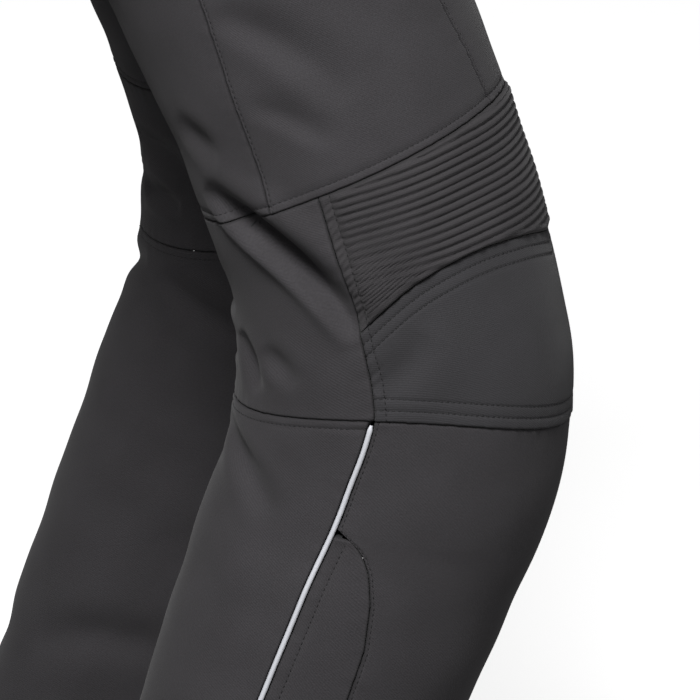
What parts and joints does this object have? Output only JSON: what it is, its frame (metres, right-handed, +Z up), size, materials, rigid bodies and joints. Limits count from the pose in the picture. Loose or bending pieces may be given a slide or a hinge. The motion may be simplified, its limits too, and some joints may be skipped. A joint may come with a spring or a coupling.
{
  "type": "motorcycle trousers",
  "caption": "worn stretch riding trousers in a half squat, hollow, with ribbed panels over the knees and light piping down the shins",
  "frame": {"origin": "the middle of the waist opening, at the waistband's top edge, where the wearer holds the trousers up", "axes": "+Z up, the wearer faces -Y, the wearer's right leg is at -X and the left leg at +X"},
  "size_m": [0.5096, 0.3562, 1.0216],
  "materials": {
    "charcoal_softshell": "matte charcoal stretch softshell with a fine woven grain",
    "ribbed_stretch": "matte charcoal stretch cloth sewn into narrow ribs",
    "knee_softshell": "matte charcoal softshell, a little smoother than the rest",
    "reflective_piping": "white retroreflective film over a cord",
    "button_plastic": "satin black"
  },
  "bodies": {
    "root": {"front_outer_r": "charcoal_softshell", "front_inner_r": "charcoal_softshell", "back_r": "charcoal_softshell", "rib_r": "ribbed_stretch", "knee_r": "knee_softshell", "knee_back_r": "charcoal_softshell", "shin_front_r": "charcoal_softshell", "gusset_r": "charcoal_softshell", "shin_back_r": "charcoal_softshell", "piping_r": "reflective_piping", "front_outer_l": "charcoal_softshell", "front_inner_l": "charcoal_softshell", "back_l": "charcoal_softshell", "rib_l": "ribbed_stretch", "knee_l": "knee_softshell", "knee_back_l": "charcoal_softshell", "shin_front_l": "charcoal_softshell", "gusset_l": "charcoal_softshell", "shin_back_l": "charcoal_softshell", "piping_l": "reflective_piping", "waistband": "charcoal_softshell", "fly": "charcoal_softshell", "button": "button_plastic"}
  },
  "joints": []
}
